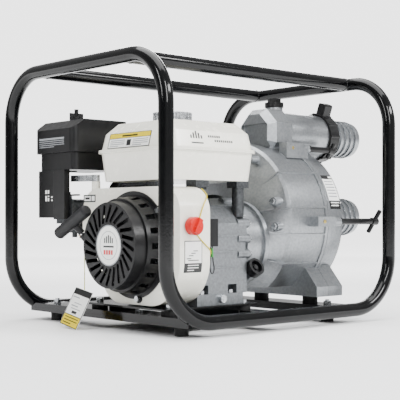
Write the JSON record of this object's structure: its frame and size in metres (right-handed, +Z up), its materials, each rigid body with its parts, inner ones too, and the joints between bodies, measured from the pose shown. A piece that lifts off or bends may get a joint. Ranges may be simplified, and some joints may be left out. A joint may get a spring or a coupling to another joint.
{
  "type": "gas engine trash pump",
  "caption": "Petrol engine with a recoil starter driving a self-priming cast trash pump, carried in a bent steel tube cage with rubber feet.",
  "frame": {"origin": "middle of the bounding box on the ground", "axes": "+X towards the hose end, -Y the stop switch side of the engine, +Z up"},
  "size_m": [0.6842, 0.4954, 0.4867],
  "materials": {
    "frame_black": "gloss",
    "rubber": "matte",
    "zinc": "satin",
    "engine_alloy": "cast",
    "engine_black": "matte",
    "steel": "machined",
    "white_paint": "gloss",
    "black_plastic": "satin",
    "cord": "braided",
    "foam": "foam",
    "red_plastic": "gloss",
    "wire": "gloss",
    "pump_alloy": "cast",
    "cast_iron": "cast",
    "card": "matte",
    "yellow_cord": "twisted"
  },
  "bodies": {
    "frame": {"frame_hoop_engine_end": "frame_black", "frame_hoop_pump_end": "frame_black", "top_rails": "frame_black", "cross_members": "frame_black", "bed_plate": "frame_black", "rubber_feet": "rubber", "isolators": "rubber", "frame_fasteners": "zinc", "crankcase": "engine_alloy", "crankcase_cover": "engine_alloy", "cylinder": "engine_alloy", "cylinder_head": "engine_alloy", "rocker_cover": "engine_black", "blower_shroud": "white_paint", "recoil_cover": "black_plastic", "machine_screws": "zinc", "tank_upper": "white_paint", "tank_lower": "white_paint", "tank_brackets": "engine_alloy", "air_cleaner_base": "black_plastic", "air_filter": "foam", "carburetor": "engine_alloy", "muffler_and_guard": "engine_black", "spark_plug": "rubber", "stop_switch_base": "black_plastic", "oil_alert_box": "black_plastic", "engine_wires": "wire", "pump_adapter": "pump_alloy", "pump_casing": "pump_alloy", "pump_cover": "pump_alloy", "cover_gasket": "rubber", "volute": "cast_iron", "shaft_seal": "steel", "hose_barbs": "pump_alloy", "hang_tag": "card", "tag_string": "yellow_cord"},
    "shaft": {"crankshaft": "steel", "flywheel": "engine_alloy", "impeller": "cast_iron"},
    "piston_group": {"piston": "engine_alloy", "connecting_rod": "steel"},
    "starter_pulley": {"recoil_pulley": "black_plastic"},
    "starter_grip": {"recoil_grip": "black_plastic", "recoil_rope": "cord"},
    "fuel_cap_body": {"fuel_cap": "zinc"},
    "cleaner_lid": {"air_cleaner_lid": "black_plastic"},
    "cleaner_nut": {"air_cleaner_nut": "black_plastic"},
    "choke": {"choke_lever": "black_plastic"},
    "throttle": {"throttle_lever": "zinc"},
    "stop_knob": {"stop_switch_knob": "red_plastic"},
    "oil_cap": {"oil_filler_cap": "black_plastic"},
    "outlet_ring": {"discharge_ring": "black_plastic"},
    "inlet_ring": {"suction_ring": "black_plastic"},
    "prime_cap": {"priming_cap": "black_plastic"},
    "near_swing_bolt": {"swing_bolt_near": "zinc"},
    "far_swing_bolt": {"swing_bolt_far": "zinc"},
    "near_t_handle": {"t_handle_near": "black_plastic"},
    "far_t_handle": {"t_handle_far": "black_plastic"},
    "top_swing_bolt": {"swing_bolt_top": "zinc"},
    "top_t_handle": {"t_handle_top": "black_plastic"}
  },
  "joints": [
    {"name": "shaft_spin", "type": "hinge", "parent": "frame", "child": "shaft", "pos_m": [-0.0419, -0.075, 0.152], "axis": [1, 0, 0], "continuous": true},
    {"name": "piston_stroke", "type": "slide", "parent": "frame", "child": "piston_group", "axis": [0, -0.9063, -0.4226], "range_m": [0, 0.054]},
    {"name": "starter_pull", "type": "slide", "parent": "frame", "child": "starter_grip", "axis": [-0.5493, 0.3495, 0.759], "range_m": [0, 0.5], "stiffness_N_per_m": 8, "springref_m": -0.3},
    {"name": "starter_pulley_spin", "type": "hinge", "parent": "frame", "child": "starter_pulley", "pos_m": [-0.3099, -0.075, 0.152], "axis": [1, 0, 0], "range_deg": [0, 720]},
    {"name": "fuel_cap_turn", "type": "hinge", "parent": "frame", "child": "fuel_cap_body", "pos_m": [-0.1679, -0.06, 0.372], "axis": [0, 0, 1], "range_deg": [0, 90]},
    {"name": "air_cleaner_lid_lift", "type": "slide", "parent": "frame", "child": "cleaner_lid", "axis": [0, 0, 1], "range_m": [0, 0.03]},
    {"name": "air_cleaner_nut_spin", "type": "hinge", "parent": "cleaner_lid", "child": "cleaner_nut", "pos_m": [-0.2489, 0.131, 0.385], "axis": [0, 0, 1], "continuous": true},
    {"name": "choke_turn", "type": "hinge", "parent": "frame", "child": "choke", "pos_m": [-0.2779, 0.112, 0.215], "axis": [0, 0, 1], "range_deg": [0, 40]},
    {"name": "throttle_turn", "type": "hinge", "parent": "frame", "child": "throttle", "pos_m": [-0.2609, 0.05, 0.268], "axis": [0, 0, 1], "range_deg": [-20, 8]},
    {"name": "stop_switch_turn", "type": "hinge", "parent": "frame", "child": "stop_knob", "pos_m": [-0.2459, -0.2, 0.186], "axis": [0, -1, 0], "range_deg": [0, 60]},
    {"name": "oil_cap_turn", "type": "hinge", "parent": "frame", "child": "oil_cap", "pos_m": [-0.0624, -0.14, 0.092], "axis": [0, -0.866, 0.5], "continuous": true},
    {"name": "discharge_ring_turn", "type": "hinge", "parent": "frame", "child": "outlet_ring", "pos_m": [0.2481, -0.045, 0.3695], "axis": [1, 0, 0], "continuous": true},
    {"name": "suction_ring_turn", "type": "hinge", "parent": "frame", "child": "inlet_ring", "pos_m": [0.2481, -0.045, 0.202], "axis": [1, 0, 0], "continuous": true},
    {"name": "priming_cap_turn", "type": "hinge", "parent": "frame", "child": "prime_cap", "pos_m": [0.1161, -0.045, 0.424], "axis": [0, 0, 1], "continuous": true},
    {"name": "swing_bolt_near_swing", "type": "hinge", "parent": "frame", "child": "near_swing_bolt", "pos_m": [0.0901, -0.194, 0.193], "axis": [0, -1, 0], "range_deg": [0, 92]},
    {"name": "t_handle_near_turn", "type": "hinge", "parent": "near_swing_bolt", "child": "near_t_handle", "pos_m": [0.1421, -0.194, 0.193], "axis": [1, 0, 0], "continuous": true},
    {"name": "swing_bolt_far_swing", "type": "hinge", "parent": "frame", "child": "far_swing_bolt", "pos_m": [0.0901, 0.14, 0.193], "axis": [0, -1, 0], "range_deg": [0, 92]},
    {"name": "t_handle_far_turn", "type": "hinge", "parent": "far_swing_bolt", "child": "far_t_handle", "pos_m": [0.1421, 0.14, 0.193], "axis": [1, 0, 0], "continuous": true},
    {"name": "swing_bolt_top_swing", "type": "hinge", "parent": "frame", "child": "top_swing_bolt", "pos_m": [0.0901, -0.112, 0.338], "axis": [0, -1, 0], "range_deg": [0, 50]},
    {"name": "t_handle_top_turn", "type": "hinge", "parent": "top_swing_bolt", "child": "top_t_handle", "pos_m": [0.1421, -0.112, 0.338], "axis": [1, 0, 0], "continuous": true}
  ],
  "couplings": [
    {"joint": "starter_pulley_spin", "follows": "starter_pull", "rad_per_m": 25}
  ]
}
